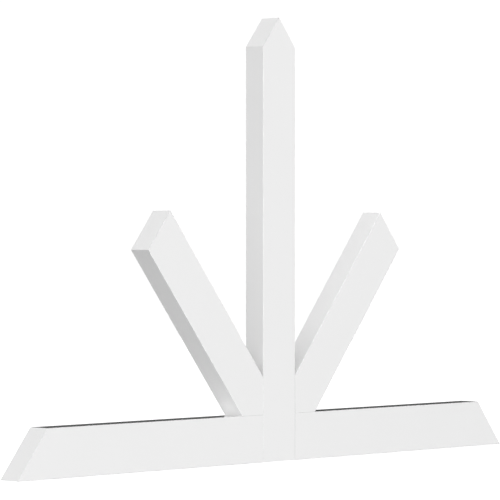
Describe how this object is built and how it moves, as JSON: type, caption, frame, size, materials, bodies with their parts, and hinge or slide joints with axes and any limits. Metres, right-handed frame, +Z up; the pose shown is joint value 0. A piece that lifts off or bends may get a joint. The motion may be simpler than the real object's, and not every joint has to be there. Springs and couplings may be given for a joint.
{
  "type": "decorative gable truss",
  "caption": "Flat white gable truss with a pointed king post, struts that lean out to the roof line and a bottom chord with raked ends, for trimming a steep gable peak.",
  "frame": {"origin": "middle of the bottom edge: half way along the width and half way through the depth", "axes": "+X to the right along the bottom chord, +Y to the back, +Z up along the king post"},
  "size_m": [1.524, 0.0508, 0.9525],
  "materials": {
    "white_board": "satin white cellular PVC board with smooth faces and finely sawn ends",
    "dowel_rod": "plain extruded grey PVC rod, scuffed for cement"
  },
  "bodies": {
    "root": {"king_post": "white_board", "left_chord": "white_board", "right_chord": "white_board", "left_strut": "white_board", "right_strut": "white_board", "chord_dowels": "dowel_rod", "strut_dowels": "dowel_rod"}
  },
  "joints": []
}
